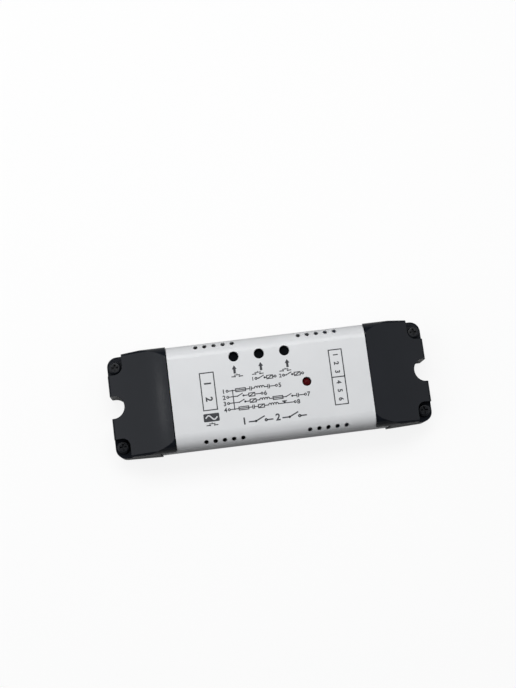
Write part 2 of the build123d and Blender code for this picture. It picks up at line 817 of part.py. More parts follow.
with BuildPart() as transformer_core:
    with Locations((transformer_x, transformer_y, core_low)):
        Box(core_length, core_width, core_height, align=(Align.CENTER, Align.CENTER, Align.MIN))
    with Locations(
        *[
            (transformer_x + side * (core_middle_leg + window_length) / 2, transformer_y, window_low)
            for side in (-1, 1)
        ]
    ):
        Box(
            window_length, core_width + 2 * overrun, window_height,
            align=(Align.CENTER, Align.CENTER, Align.MIN), mode=Mode.SUBTRACT,
        )
save(transformer_core, "transformer_core")

with BuildPart() as transformer_winding:
    with Locations((transformer_x, transformer_y, window_low + winding_gap)):
        Box(
            core_middle_leg + 2 * (window_length - winding_gap),
            core_width + 2 * (window_length - winding_gap), window_height - 2 * winding_gap,
            align=(Align.CENTER, Align.CENTER, Align.MIN),
        )
        fillet(transformer_winding.edges().filter_by(Axis.Z), winding_round)
        Box(
            core_middle_leg + 2 * winding_gap, core_width + 2 * winding_gap, core_height,
            align=(Align.CENTER, Align.CENTER, Align.MIN), mode=Mode.SUBTRACT,
        )
save(transformer_winding, "transformer_winding")

mains_can_radius = 5.0
mains_can_headroom = 2.6
mains_can_from_terminals = 7.5
mains_can_from_edge = 6.8
output_can_radius = 4.0
output_can_headroom = 4.1
output_can_from_terminals = 21.5
output_can_from_edge = 8.4
can_round = 0.6
can_groove_depth = 0.35
can_groove_height = 0.8
can_groove_lift = 1.6


def electrolytic(name, radius, headroom, x, y):
    """An upright can with its crimped groove near the foot."""
    with BuildPart() as can:
        with Locations((x, y, board_top)):
            Cylinder(
                radius, ceiling - headroom - board_top, align=(Align.CENTER, Align.CENTER, Align.MIN)
            )
        fillet(can.edges().group_by(Axis.Z)[-1], can_round)
        with BuildSketch(Plane.XY.offset(board_top + can_groove_lift)):
            with Locations((x, y)):
                Circle(radius + overrun)
                Circle(radius - can_groove_depth, mode=Mode.SUBTRACT)
        extrude(amount=can_groove_height, mode=Mode.SUBTRACT)
    save(can, name)


electrolytic(
    "mains_capacitor", mains_can_radius, mains_can_headroom,
    mains_can_from_terminals - terminal_rear, mains_can_from_edge - board_half_width,
)
electrolytic(
    "output_capacitor", output_can_radius, output_can_headroom,
    output_can_from_terminals - terminal_rear, board_half_width - output_can_from_edge,
)

noise_from_terminals = 7.5
noise_y = 0.6
noise_length = 13.0
noise_width = 6.0
noise_headroom = 4.6
noise_round = 0.5

noise_x = noise_from_terminals - terminal_rear
noise_height = ceiling - noise_headroom - board_top

with BuildPart() as noise_capacitor:
    with Locations((noise_x, noise_y, board_top)):
        Box(noise_length, noise_width, noise_height, align=(Align.CENTER, Align.CENTER, Align.MIN))
    fillet(noise_capacitor.edges().filter_by(Axis.Z), noise_round)
    fillet(noise_capacitor.edges().group_by(Axis.Z)[-1], noise_round)
save(noise_capacitor, "noise_capacitor")

varistor_from_terminals = 10.5
varistor_from_edge = 6.4
varistor_radius = 4.6
varistor_thickness = 3.6
varistor_round = 1.2
varistor_lift = 1.4
varistor_lead = 0.6
varistor_lead_spread = 5.0

varistor_x = varistor_from_terminals - terminal_rear
varistor_y = board_half_width - varistor_from_edge

with BuildPart() as varistor:
    with BuildSketch(Plane.XZ.offset(-varistor_y - varistor_thickness / 2)):
        with Locations((varistor_x, board_top + varistor_lift + varistor_radius)):
            Circle(varistor_radius)
    extrude(amount=varistor_thickness)
    fillet(varistor.edges(), varistor_round)
    with Locations(
        *[(varistor_x + side * varistor_lead_spread / 2, varistor_y, board_top) for side in (-1, 1)]
    ):
        Box(
            varistor_lead, varistor_lead, varistor_lift + varistor_radius,
            align=(Align.CENTER, Align.CENTER, Align.MIN),
        )
save(varistor, "varistor")

fuse_from_terminals = 2.5
fuse_from_edge = 7.0
fuse_radius = 2.4
fuse_height = 9.0

fuse_x = fuse_from_terminals - terminal_rear
fuse_y = board_half_width - fuse_from_edge

with BuildPart() as fuse:
    with Locations((fuse_x, fuse_y, board_top)):
        Cylinder(fuse_radius, fuse_height, align=(Align.CENTER, Align.CENTER, Align.MIN))
    fillet(fuse.edges().group_by(Axis.Z)[-1], can_round)
save(fuse, "fuse")

# Radio boards
wireless_from_lamp = 14.35
wireless_from_edge = 9.4
wireless_length = 24.0
wireless_width = 16.0
wireless_thickness = 0.8
shield_length = 15.0
shield_width = 13.0
shield_height = 2.2
shield_shift = 3.5
receiver_from_lamp = 0.75
receiver_from_edge = 6.9
receiver_thickness = 1.0
receiver_width = 12.0
receiver_height = 9.0

wireless_x = lamp_x - wireless_from_lamp
wireless_y = wireless_from_edge - board_half_width
receiver_x = lamp_x - receiver_from_lamp
receiver_y = board_half_width - receiver_from_edge

with BuildPart() as wireless_board:
    with Locations((wireless_x, wireless_y, board_top)):
        Box(
            wireless_length, wireless_width, wireless_thickness,
            align=(Align.CENTER, Align.CENTER, Align.MIN),
        )
save(wireless_board, "wireless_board")

with BuildPart() as wireless_shield:
    with Locations((wireless_x + shield_shift, wireless_y, board_top + wireless_thickness)):
        Box(shield_length, shield_width, shield_height, align=(Align.CENTER, Align.CENTER, Align.MIN))
save(wireless_shield, "wireless_shield")

with BuildPart() as receiver_board:
    with Locations((receiver_x, receiver_y, board_top)):
        Box(
            receiver_thickness, receiver_width, receiver_height,
            align=(Align.CENTER, Align.CENTER, Align.MIN),
        )
save(receiver_board, "receiver_board")

# Main board, drilled for what it carries
creepage_slot_width = 1.0
creepage_slot_length = 9.0
creepage_slot_from_pin = 3.0

with BuildPart() as main_board:
    with Locations((0, 0, board_bottom)):
        Box(
            2 * board_half_length, 2 * board_half_width, board_thickness,
            align=(Align.CENTER, Align.CENTER, Align.MIN),
        )
    terminal_pin_places = [(side * (bar_rear + bar_thickness / 2), y) for side, y in poles]
    relay_pin_all = [place for middle in relay_middles for place in relay_pin_places(middle)]
    for places, radius in (
        (terminal_pin_places, pin_hole_radius),
        (relay_pin_all, relay_pin_hole_radius),
        (lead_places, lead_hole_radius),
    ):
        with Locations(*[(x, y, board_bottom) for x, y in places]):
            Cylinder(radius, 2 * (board_thickness + overrun), mode=Mode.SUBTRACT)
    with Locations(*[(common_pin_x + creepage_slot_from_pin, y, board_bottom) for y in relay_middles]):
        Box(
            creepage_slot_width, creepage_slot_length, 2 * (board_thickness + overrun),
            mode=Mode.SUBTRACT,
        )
save(main_board, "main_board")
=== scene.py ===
"""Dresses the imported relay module: finishes, print, floor, light and the photograph's camera."""
import json
import math

import bmesh
import bpy
from mathutils import Euler, Matrix, Vector


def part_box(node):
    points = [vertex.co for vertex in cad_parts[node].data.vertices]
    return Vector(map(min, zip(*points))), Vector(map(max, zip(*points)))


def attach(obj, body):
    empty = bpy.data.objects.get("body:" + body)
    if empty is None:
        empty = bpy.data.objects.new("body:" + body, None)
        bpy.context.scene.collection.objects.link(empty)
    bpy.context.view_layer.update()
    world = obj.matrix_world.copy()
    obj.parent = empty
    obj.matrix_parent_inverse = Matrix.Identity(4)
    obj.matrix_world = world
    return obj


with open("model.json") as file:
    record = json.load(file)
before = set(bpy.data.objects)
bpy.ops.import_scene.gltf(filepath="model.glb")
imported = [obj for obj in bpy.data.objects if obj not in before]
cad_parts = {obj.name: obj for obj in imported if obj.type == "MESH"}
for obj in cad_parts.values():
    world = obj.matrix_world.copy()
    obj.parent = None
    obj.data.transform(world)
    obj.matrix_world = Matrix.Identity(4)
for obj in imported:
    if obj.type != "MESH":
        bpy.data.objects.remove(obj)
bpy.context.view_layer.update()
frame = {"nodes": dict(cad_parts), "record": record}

MM = 0.001


# Nodes

EVEN = (1.0, 1.0, 1.0)
DRAWN = (1.0, 1.0, 6.0)                 # a texture's stretch along the axes, for drawn metal
NOISE_LOW, NOISE_HIGH = 0.3, 0.7        # most of a noise texture's values lie between these
WAVE_PERIOD = math.pi / 10              # one band of a wave texture at scale 1
BEVEL_SAMPLES = 4
MIX_FACTOR, MIX_FIRST, MIX_SECOND, MIX_RESULT = 0, 6, 7, 2      # a Mix node's sockets for colours


def grey(level):
    return (level, level, level, 1.0)


def node(tree, kind, inputs=None, **settings):
    """Adds a shader node; inputs are sockets to link or plain values."""
    made = tree.nodes.new(kind)
    for key, value in settings.items():
        setattr(made, key, value)
    for key, value in (inputs or {}).items():
        if isinstance(value, bpy.types.NodeSocket):
            tree.links.new(value, made.inputs[key])
        else:
            made.inputs[key].default_value = value
    return made


def maths(tree, operation, first, second):
    return node(tree, "ShaderNodeMath", {0: first, 1: second}, operation=operation).outputs[0]


def mix_shaders(tree, share, first, second):
    """The first shader, and the second for that share."""
    return node(tree, "ShaderNodeMixShader", {"Fac": share, 1: first, 2: second}).outputs["Shader"]


def diffuse(tree, level):
    return node(tree, "ShaderNodeBsdfDiffuse", {"Color": grey(level)}).outputs["BSDF"]


def place(tree, stretch=EVEN):
    """Coordinates fixed to the part, in metres, stretched along each axis."""
    fixed = node(tree, "ShaderNodeTexCoord").outputs["Object"]
    return node(tree, "ShaderNodeMapping", {"Vector": fixed, "Scale": stretch}).outputs["Vector"]


def noise(tree, feature, detail=3.0, stretch=EVEN):
    """Noise whose features measure about feature millimetres."""
    return node(tree, "ShaderNodeTexNoise", {
        "Vector": place(tree, stretch), "Scale": 1 / (feature * MM), "Detail": detail,
    }).outputs["Fac"]


def bands(tree, pitch, distortion=0.3):
    """Parallel bands up the part, one each pitch millimetres."""
    return node(tree, "ShaderNodeTexWave", {
        "Vector": place(tree), "Scale": WAVE_PERIOD / (pitch * MM), "Distortion": distortion, "Detail": 1.0,
    }, wave_type="BANDS", bands_direction="Z").outputs["Fac"]


def blend_colours(tree, factor, first, second, low=NOISE_LOW, high=NOISE_HIGH):
    """A ramp from one colour to the other."""
    ramp = node(tree, "ShaderNodeValToRGB", {"Fac": factor})
    for element, position, colour in zip(ramp.color_ramp.elements, (low, high), (first, second)):
        element.position = position
        element.color = (*colour, 1.0)
    return ramp.outputs["Color"]


def spread(tree, factor, low, high):
    """The noise mapped to low..high."""
    return node(tree, "ShaderNodeMapRange", {
        "Value": factor, "From Min": NOISE_LOW, "From Max": NOISE_HIGH, "To Min": low, "To Max": high,
    }).outputs["Result"]


def relief(tree, shader, height, depth, edge=0.0):
    """Bump of depth millimetres, over edges softened to a radius of edge millimetres."""
    inputs = {"Height": height, "Distance": depth * MM}
    if edge:
        rounded = node(tree, "ShaderNodeBevel", {"Radius": edge * MM}, samples=BEVEL_SAMPLES)
        inputs["Normal"] = rounded.outputs["Normal"]
    tree.links.new(node(tree, "ShaderNodeBump", inputs).outputs["Normal"], shader.inputs["Normal"])


# Finishes; grains, depths, patches and edges are in millimetres

def new_finish(name, metallic=0.0, roughness=0.5, specular=0.5):
    """A node material with its Principled shader; plain values sit on the shader's own sockets."""
    material = bpy.data.materials.new(name)
    material.use_nodes = True
    tree = material.node_tree
    shader = tree.nodes["Principled BSDF"]
    shader.inputs["Metallic"].default_value = metallic
    shader.inputs["Roughness"].default_value = roughness
    shader.inputs["Specular IOR Level"].default_value = specular
    return material, tree, shader


def moulded(name, dark, light, roughness, grain, depth=0.003, patch=6.0, edge=0.0, specular=0.5):
    """Moulded plastic: a fine spark-eroded grain, faint patches of tone and of gloss."""
    material, tree, shader = new_finish(name, specular=specular)
    tree.links.new(blend_colours(tree, noise(tree, patch), dark, light), shader.inputs["Base Color"])
    gloss = spread(tree, noise(tree, patch / 4, detail=5.0), *roughness)
    tree.links.new(gloss, shader.inputs["Roughness"])
    relief(tree, shader, noise(tree, grain, detail=2.0), depth, edge)
    return material


def plated(name, dark, light, roughness, patch=1.2, gloss_patch=0.8, grain=0.4, depth=0.004, edge=0.05):
    """Metal with fine drawn lines and cloudy plating."""
    material, tree, shader = new_finish(name, metallic=1.0)
    tree.links.new(blend_colours(tree, noise(tree, patch), dark, light), shader.inputs["Base Color"])
    gloss = spread(tree, noise(tree, gloss_patch, detail=5.0), *roughness)
    tree.links.new(gloss, shader.inputs["Roughness"])
    relief(tree, shader, noise(tree, grain, stretch=DRAWN), depth, edge)
    return material


def clouded(name, dark, light, roughness, patch, grain, depth,
            patch_detail=3.0, grain_detail=2.0, edge=0.0, specular=0.5):
    """Patches of tone and a grain, with an even gloss."""
    material, tree, shader = new_finish(name, roughness=roughness, specular=specular)
    tone = blend_colours(tree, noise(tree, patch, patch_detail), dark, light)
    tree.links.new(tone, shader.inputs["Base Color"])
    relief(tree, shader, noise(tree, grain, grain_detail), depth, edge)
    return material


def circuit_board(name, mask, track, pad=2.6, edges=(0.30, 0.34), grain=0.5, depth=0.01):
    """Solder mask, darker between the tracks that run under it."""
    material, tree, shader = new_finish(name, roughness=0.32)
    cells = node(tree, "ShaderNodeTexVoronoi", {"Vector": place(tree), "Scale": 1 / (pad * MM)},
                 distance="CHEBYCHEV", feature="F1").outputs["Distance"]
    tree.links.new(blend_colours(tree, cells, mask, track, *edges), shader.inputs["Base Color"])
    relief(tree, shader, noise(tree, grain, detail=2.0), depth)
    return material


def white_housing():
    """The sleeve: cool grey-white and satin."""
    return moulded("white_housing", (0.70, 0.71, 0.725), (0.73, 0.74, 0.755), (0.34, 0.42),
                   grain=0.16, patch=14.0, edge=0.12)


def black_housing():
    """Covers and bases: black, satin, with a fine grain."""
    return moulded("black_housing", (0.0076, 0.0092, 0.0130), (0.0088, 0.0106, 0.0150), (0.14, 0.17),
                   grain=0.13, depth=0.0008, patch=12.0, edge=0.18, specular=0.18)


def black_steel():
    """Cover screws: blackened steel."""
    return clouded("black_steel", (0.0070, 0.0085, 0.0115), (0.0100, 0.0115, 0.0150), 0.3,
                   patch=0.7, grain=0.2, grain_detail=3.0, depth=0.004, edge=0.06, specular=0.2)


def terminal_green():
    return moulded("terminal_green", (0.060, 0.26, 0.10), (0.075, 0.30, 0.12), (0.36, 0.5),
                   grain=0.15, edge=0.06)


def tinned_brass():
    return plated("tinned_brass", (0.62, 0.55, 0.38), (0.80, 0.76, 0.66), (0.22, 0.4))


# Switch stems: black plastic, painted darker still and with almost no reflection, as painted shade for the
# deep holes they sit in
def switch_black():
    return moulded("switch_black", (0.0030, 0.0037, 0.0050), (0.0042, 0.0050, 0.0066), (0.5, 0.6),
                   grain=0.12, edge=0.05, specular=0.02)


def plated_steel():
    return plated("plated_steel", (0.46, 0.47, 0.49), (0.58, 0.59, 0.61), (0.32, 0.46))


def lamp_red():
    """The 3 mm lamp, unlit: deep red epoxy, its colour darkened further as painted shade for the hole it
    sits down in.
    """
    # part its own red, part painted shade of its recess
    return clouded("lamp_red", (0.062, 0.0018, 0.0032), (0.094, 0.0026, 0.0046), 0.3,
                   patch=1.5, grain=0.9, depth=0.006, specular=0.09)


def bobbin_black():
    return moulded("bobbin_black", (0.016, 0.016, 0.016), (0.024, 0.024, 0.024), (0.42, 0.55), grain=0.15)


def ferrite():
    """Sintered ferrite: dull, with pores."""
    return clouded("ferrite", (0.028, 0.028, 0.031), (0.07, 0.07, 0.075), 0.6,
                   patch=0.25, patch_detail=6.0, grain=0.12, grain_detail=5.0, depth=0.02)


def winding_tape():
    """Yellow polyester tape, over wire that shows as faint ridges."""
    patch, wire, depth = 2.5, 0.35, 0.02
    material, tree, shader = new_finish("winding_tape", roughness=0.28)
    tone = blend_colours(tree, noise(tree, patch), (0.62, 0.40, 0.035), (0.76, 0.54, 0.07))
    tree.links.new(tone, shader.inputs["Base Color"])
    relief(tree, shader, bands(tree, wire), depth)
    return material


def can_sleeve():
    """Shrink sleeve of the upright cans."""
    return moulded("can_sleeve", (0.012, 0.018, 0.040), (0.018, 0.026, 0.055), (0.2, 0.3),
                   grain=0.6, depth=0.004, patch=3.0)


def capacitor_yellow():
    return moulded("capacitor_yellow", (0.40, 0.27, 0.035), (0.48, 0.33, 0.045), (0.3, 0.42), grain=0.2)


def varistor_blue():
    """Dipped epoxy, thick and slightly uneven."""
    return moulded("varistor_blue", (0.035, 0.10, 0.34), (0.05, 0.13, 0.42), (0.2, 0.3),
                   grain=1.2, depth=0.05, patch=3.0)


def fuse_brown():
    return moulded("fuse_brown", (0.10, 0.035, 0.014), (0.14, 0.05, 0.02), (0.3, 0.42), grain=0.2)


def board_dark():
    return circuit_board("board_dark", (0.008, 0.022, 0.05), (0.014, 0.038, 0.08))


def board_green():
    return circuit_board("board_green", (0.012, 0.115, 0.035), (0.022, 0.19, 0.06))


def relay_blue():
    return moulded("relay_blue", (0.022, 0.085, 0.30), (0.03, 0.11, 0.37), (0.3, 0.42),
                   grain=0.18, edge=0.08)


def copper():
    """Enamelled wire, wound in even turns; its colour follows the turns, with painted shade in the grooves
    between them and a painted highlight on their crests.
    """
    wire, depth, edges = 0.22, 0.04, (0.1, 0.8)
    material, tree, shader = new_finish("copper", metallic=0.85, roughness=0.3)
    turns = bands(tree, wire, distortion=0.1)
    # painted shade and highlight: dark in the grooves between turns, light on their crests
    tone = blend_colours(tree, turns, (0.22, 0.055, 0.018), (0.62, 0.22, 0.08), *edges)
    tree.links.new(tone, shader.inputs["Base Color"])
    relief(tree, shader, turns, depth)
    return material


def print_ink():
    """The dark grey print, a little uneven."""
    return clouded("print_ink", (0.030, 0.032, 0.038), (0.052, 0.054, 0.062), 0.5,
                   patch=0.5, patch_detail=4.0, grain=0.15, depth=0.002, specular=0.3)


def print_pale():
    """The figure in the sign block, near the sleeve's own tone."""
    return clouded("print_pale", (0.56, 0.57, 0.59), (0.64, 0.65, 0.67), 0.45,
                   patch=0.5, patch_detail=4.0, grain=0.15, depth=0.002, specular=0.3)


SLOT_FINISHES = (
    white_housing, black_housing, black_steel, terminal_green, tinned_brass, switch_black, plated_steel,
    lamp_red, bobbin_black, ferrite, winding_tape, can_sleeve, capacitor_yellow, varistor_blue, fuse_brown,
    board_dark, board_green, relay_blue, copper,
)


def dress_nodes():
    """Gives each CAD node the finish of its material slot, which has the same name."""
    made = {make.__name__: make() for make in SLOT_FINISHES}
    for row in frame["record"]["subparts"]:
        mesh = frame["nodes"][row["node"]].data
        mesh.materials.clear()
        mesh.materials.append(made[row["material_slot"]])


# Print, in millimetres

SLEEVE_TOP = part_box("sleeve")[1].z / MM
INK_LIFT = 0.02             # the print's height above the sleeve
PALE_LIFT = 0.03            # the pale figure's, above the dark block
BOX_LINE = 0.40
BOLD_LINE = 0.48
WIRE = 0.35
BAR = 0.32
MITRE_LIMIT = 0.5
CIRCLE_STEPS = 24
DIGIT_SHARE = 0.72          # a digit's height as a share of its font size
DIGIT_BOLD = 0.034          # how much its outline grows, as a share of the same
DIGIT_STEPS = 4
ACROSS = -math.pi / 2       # turn of the digits that read across the sleeve

CONTACT_HALF, FUSE_HALF, COIL_HALF, PLATES_HALF, WINDING_HALF = 1.2, 1.8, 1.1, 0.3, 1.8
END_RING = 0.36
INPUT_LOW, INPUT_HIGH = (-25.65, -6.2), (-20.55, 7.6)
INPUT_MIDDLE = (INPUT_LOW[0] + INPUT_HIGH[0]) / 2


def circle(centre, radius):
    x, y = centre
    turns = [math.tau * i / CIRCLE_STEPS for i in range(CIRCLE_STEPS)]
    return [(x + radius * math.cos(turn), y + radius * math.sin(turn)) for turn in turns]


class Sheet:
    """Flat figures on the sleeve's top, gathered into one mesh."""

    def __init__(self, lift=INK_LIFT):
        self.mesh = bmesh.new()
        self.z = SLEEVE_TOP + lift

    def corner(self, x, y):
        return self.mesh.verts.new((x * MM, y * MM, self.z * MM))

    def face(self, points):
        self.mesh.faces.new([self.corner(*point) for point in points])

    def path(self, points, width=WIRE, closed=False):
        """A stroke of even width along the points, mitred at its corners and square at its ends."""
        points = [Vector(point) for point in points]
        count = len(points)
        ways = [(points[(i + 1) % count] - points[i]).normalized() for i in range(count)]
        sides = []
        for i, point in enumerate(points):
            before, after = ways[i - 1], ways[i]
            if not closed and i == 0:
                before, point = after, point - after * width / 2
            if not closed and i == count - 1:
                after, point = before, point + before * width / 2
            mean = (before + after).normalized()
            across = Vector((-mean.y, mean.x)) * width / 2 / max(mean.dot(after), MITRE_LIMIT)
            sides.append([self.corner(*end) for end in (point + across, point - across)])
        for i in range(count if closed else count - 1):
            (left, right), (far_left, far_right) = sides[i], sides[(i + 1) % count]
            self.mesh.faces.new((left, right, far_right, far_left))

    def line(self, start, end, width=WIRE):
        self.path((start, end), width)

    def frame(self, low, high, width=BOX_LINE):
        (x0, y0), (x1, y1) = low, high
        self.path(((x0, y0), (x1, y0), (x1, y1), (x0, y1)), width, closed=True)

    def disc(self, centre, radius):
        self.face(circle(centre, radius))

    def ring(self, centre, radius, width=WIRE):
        self.path(circle(centre, radius), width, closed=True)

    def digits(self, text, centre, height, turn=0.0):
        """Plain digits from Blender's own font, centred on a point."""
        words = bpy.data.curves.new("digits", "FONT")
        words.body = text
        words.size = height / DIGIT_SHARE * MM
        words.resolution_u = DIGIT_STEPS
        words.offset = DIGIT_BOLD * words.size
        holder = bpy.data.objects.new("digits", words)
        shape = bpy.data.meshes.new_from_object(holder)
        xs, ys = [v.co.x for v in shape.vertices], [v.co.y for v in shape.vertices]
        middle = Vector(((min(xs) + max(xs)) / 2, (min(ys) + max(ys)) / 2, 0))
        spot = Vector((*centre, self.z)) * MM
        shape.transform(
            Matrix.Translation(spot) @ Matrix.Rotation(turn, 4, "Z") @ Matrix.Translation(-middle))
        self.mesh.from_mesh(shape)
        bpy.data.objects.remove(holder)
        bpy.data.curves.remove(words)
        bpy.data.meshes.remove(shape)

    def finish(self, name, material):
        """The print piece, facing up and riding on the case."""
        self.mesh.normal_update()
        for face in self.mesh.faces:
            if face.normal.z < 0:
                face.normal_flip()
        shape = bpy.data.meshes.new(name)
        self.mesh.to_mesh(shape)
        self.mesh.free()
        shape.materials.append(material)
        piece = bpy.data.objects.new(name, shape)
        bpy.context.scene.collection.objects.link(piece)
        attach(piece, "case")


def contact_sign(sheet, x, y, size=1.0, width=WIRE):
    """An open switch: a pivot, a raised blade and a post."""
    reach, pivot, post, tip_x, tip_y = (size * share for share in (1.1, 0.26, 0.22, 0.75, 0.85))
    sheet.disc((x - reach, y), pivot)
    sheet.line((x - reach, y), (x + tip_x, y + tip_y), width)
    sheet.ring((x + reach, y), post, width)


def push_sign(sheet, x, y):
    """A push contact: two leads with posts, and a bar above them."""
    lead_far, lead_near, post_x, post, bar_half, bar_y, stem_y = 2.0, 0.9, 0.8, 0.28, 1.0, 0.55, 0.85
    for side in (-1, 1):
        sheet.line((x + lead_far * side, y), (x + lead_near * side, y))
        sheet.disc((x + post_x * side, y), post)
    sheet.line((x - bar_half, y + bar_y), (x + bar_half, y + bar_y), BAR)
    sheet.line((x, y + bar_y), (x, y + stem_y), BAR)


def fuse_sign(sheet, x, y):
    """A box with the wire running through it."""
    half_height = 0.55
    sheet.frame((x - FUSE_HALF, y - half_height), (x + FUSE_HALF, y + half_height), WIRE)
    sheet.line((x - FUSE_HALF, y), (x + FUSE_HALF, y))


def coil_sign(sheet, x, y):
    """A box with a slanting line."""
    half_height, slant_x, slant_y = 0.6, 0.8, 0.5
    sheet.frame((x - COIL_HALF, y - half_height), (x + COIL_HALF, y + half_height), WIRE)
    sheet.line((x - slant_x, y - slant_y), (x + slant_x, y + slant_y))


def plates_sign(sheet, x, y):
    """A capacitor's two plates."""
    plate_x, half_height = 0.28, 0.65
    for side in (-1, 1):
        sheet.line((x + plate_x * side, y - half_height), (x + plate_x * side, y + half_height), BAR)


def winding_sign(sheet, x, y):
    """Four half turns."""
    turns, steps, height = 4, 6, 0.6
    radius = WINDING_HALF / turns
    for i in range(turns):
        centre = x - WINDING_HALF + radius * (2 * i + 1)
        angles = [math.pi * k / steps for k in range(steps + 1)]
        sheet.path([(centre - radius * math.cos(angle), y + height * math.sin(angle)) for angle in angles])


def aerial_sign(sheet, x, y):
    """A mast that carries a triangle."""
    mast, half_width, low, high = 0.8, 0.75, 0.15, 0.85
    sheet.line((x, y), (x, y + mast))
    sheet.path(((x - half_width, y + high), (x, y + low), (x + half_width, y + high)), closed=True)


SIGN_HALF = {contact_sign: CONTACT_HALF, fuse_sign: FUSE_HALF, coil_sign: COIL_HALF,
             plates_sign: PLATES_HALF, winding_sign: WINDING_HALF, aerial_sign: 0.0}


def wiring_row(sheet, left, right, y, signs):
    """A wire with its signs in turn, between two rings."""
    for x in (left, right):
        sheet.ring((x, y), END_RING)
    start = left + END_RING
    for draw, x in signs:
        sheet.line((start, y), (x - SIGN_HALF[draw], y))
        draw(sheet, x, y)
        start = x + SIGN_HALF[draw]
    sheet.line((start, y), (right - END_RING, y))


def input_box(ink):
    """The outlined box by the input seam, with a plain number for each pole."""
    digit_height = 2.5
    sheet = Sheet()
    sheet.frame(INPUT_LOW, INPUT_HIGH)
    for text, y in (("1", 3.6), ("2", -2.2)):
        sheet.digits(text, (INPUT_MIDDLE, y), digit_height, ACROSS)
    sheet.finish("print_input_box", ink)


def output_box(ink):
    """The outlined and divided box by the output seam, with a plain number for each pole."""
    low, high, divider, digit_height = (22.7, -9.95), (27.5, 10.5), 0.3, 1.75
    middle, digit_shares = (low[0] + high[0]) / 2, (0.19, 0.5, 0.81)
    sheet = Sheet()
    sheet.frame(low, high)
    sheet.line((low[0], divider), (high[0], divider), BOX_LINE)
    for start, end, texts in ((high[1], divider, "123"), (divider, low[1], "456")):
        for share, text in zip(digit_shares, texts):
            sheet.digits(text, (middle, start + (end - start) * share), digit_height, ACROSS)
    sheet.finish("print_output_box", ink)


def button_marks(ink):
    """A solid arrow up to each button, a push contact under it, and the channel's number and row."""
    head_half, head_length, shaft_half, shaft_top, shaft_end = 0.9, 1.45, 0.44, 1.4, 3.05
    push_drop, row_drop, digit_x, digit_height = 4.2, 5.85, -2.1, 1.35
    row_left, row_right, row_signs = -0.9, 6.2, ((contact_sign, 1.2), (coil_sign, 4.2))
    # button, channel, from the button to the arrow's tip, and from there to the signs' middle
    marks = (("reset_button", "", -0.27, -3.3, 0.75), ("manual_button_1", "1", 0.09, -3.25, -1.4),
             ("manual_button_2", "2", 0.47, -3.3, -1.0))
    sheet = Sheet()
    for button, channel, tip_x, tip_y, shift in marks:
        centre = sum(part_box(button), Vector()) / 2 / MM
        x, y = centre.x + tip_x, centre.y + tip_y
        sheet.face([(x, y), (x - head_half, y - head_length), (x + head_half, y - head_length)])
        sheet.face([(x - shaft_half, y - shaft_top), (x - shaft_half, y - shaft_end),
                    (x + shaft_half, y - shaft_end), (x + shaft_half, y - shaft_top)])
        middle, row_y = x + shift, y - row_drop
        push_sign(sheet, middle, y - push_drop)
        if channel:
            sheet.digits(channel, (middle + digit_x, row_y), digit_height)
            signs = [(sign, middle + sign_x) for sign, sign_x in row_signs]
            wiring_row(sheet, middle + row_left, middle + row_right, row_y, signs)
    sheet.finish("print_button_marks", ink)


def wiring_sign(ink):
    """Four rows of a plain wiring diagram, with a number at each end."""
    left, bus, bus_dot, left_digit, right_digit, digit_height = -16.3, -14.3, 0.3, 1.35, 1.25, 1.6
    # height, right end, and each sign's place
    rows = (
        (-0.1, 2.0, ((fuse_sign, -11.3), (plates_sign, -7.6), (winding_sign, -4.3), (plates_sign, -0.9))),
        (-2.35, -3.6, ((contact_sign, -11.6), (coil_sign, -7.4))),
        (-4.65, 12.2, ((contact_sign, -11.2), (coil_sign, -7.2), (winding_sign, -2.9), (fuse_sign, 2.0),
                       (contact_sign, 6.2), (plates_sign, 9.3))),
        (-6.95, 8.1, ((fuse_sign, -10.9), (plates_sign, -7.3), (coil_sign, -4.4), (winding_sign, 0.1),
                      (aerial_sign, 4.2))),
    )
    sheet = Sheet()
    for number, (y, right, signs) in enumerate(rows, 1):
        sheet.digits(str(number), (left - left_digit, y), digit_height)
        wiring_row(sheet, left, right, y, signs)
        sheet.digits(str(number + len(rows)), (right + right_digit, y), digit_height)
        sheet.disc((bus, y), bus_dot)
    sheet.line((bus, rows[0][0]), (bus, rows[-1][0]))
    sheet.finish("print_wiring", ink)


def switch_signs(ink):
    """A bold strip of two numbered switches."""
    digit_y, wire_y, digit_height, contact_x, contact_size = -11.75, -12.25, 2.5, 6.1, 1.7
    leads = ((1.8, 4.4), (8.5, 10.4))
    sheet = Sheet()
    for text, x in (("1", -11.3), ("2", 1.1)):
        sheet.digits(text, (x, digit_y), digit_height)
        for start, end in leads:
            sheet.line((x + start, wire_y), (x + end, wire_y), BOLD_LINE)
        contact_sign(sheet, x + contact_x, wire_y, contact_size, BOLD_LINE)
    sheet.finish("print_switch_signs", ink)


def sign_block(ink, pale):
    """A small dark block with a plain alternating current wave, and a push contact under it."""
    half_x, half_y, corner, corner_steps, block_drop, push_drop = 2.9, 1.5, 0.4, 4, 2.8, 2.8
    wave_half, wave_height, wave_line, wave_steps = 2.0, 0.75, 0.5, 24
    x, y = INPUT_MIDDLE, INPUT_LOW[1] - block_drop
    points = []
    for quarter, (side_x, side_y) in enumerate(((1, 1), (-1, 1), (-1, -1), (1, -1))):
        for i in range(corner_steps + 1):
            angle = (quarter + i / corner_steps) * math.pi / 2
            points.append((x + side_x * (half_x - corner) + corner * math.cos(angle),
                           y + side_y * (half_y - corner) + corner * math.sin(angle)))
    block = Sheet()
    block.face(points)
    push_sign(block, x, y - push_drop)
    block.finish("print_sign_block", ink)
    shares = [i / wave_steps for i in range(wave_steps + 1)]
    wave = Sheet(PALE_LIFT)
    wave.path([(x + wave_half * (2 * share - 1), y + wave_height * math.sin(math.tau * share))
               for share in shares], wave_line)
    wave.finish("print_sign_wave", pale)


def make_print():
    """All the print on the sleeve: plain numbers and signs only."""
    ink = print_ink()
    for make in (input_box, output_box, button_marks, wiring_sign, switch_signs):
        make(ink)
    sign_block(ink, print_pale())


# Stage

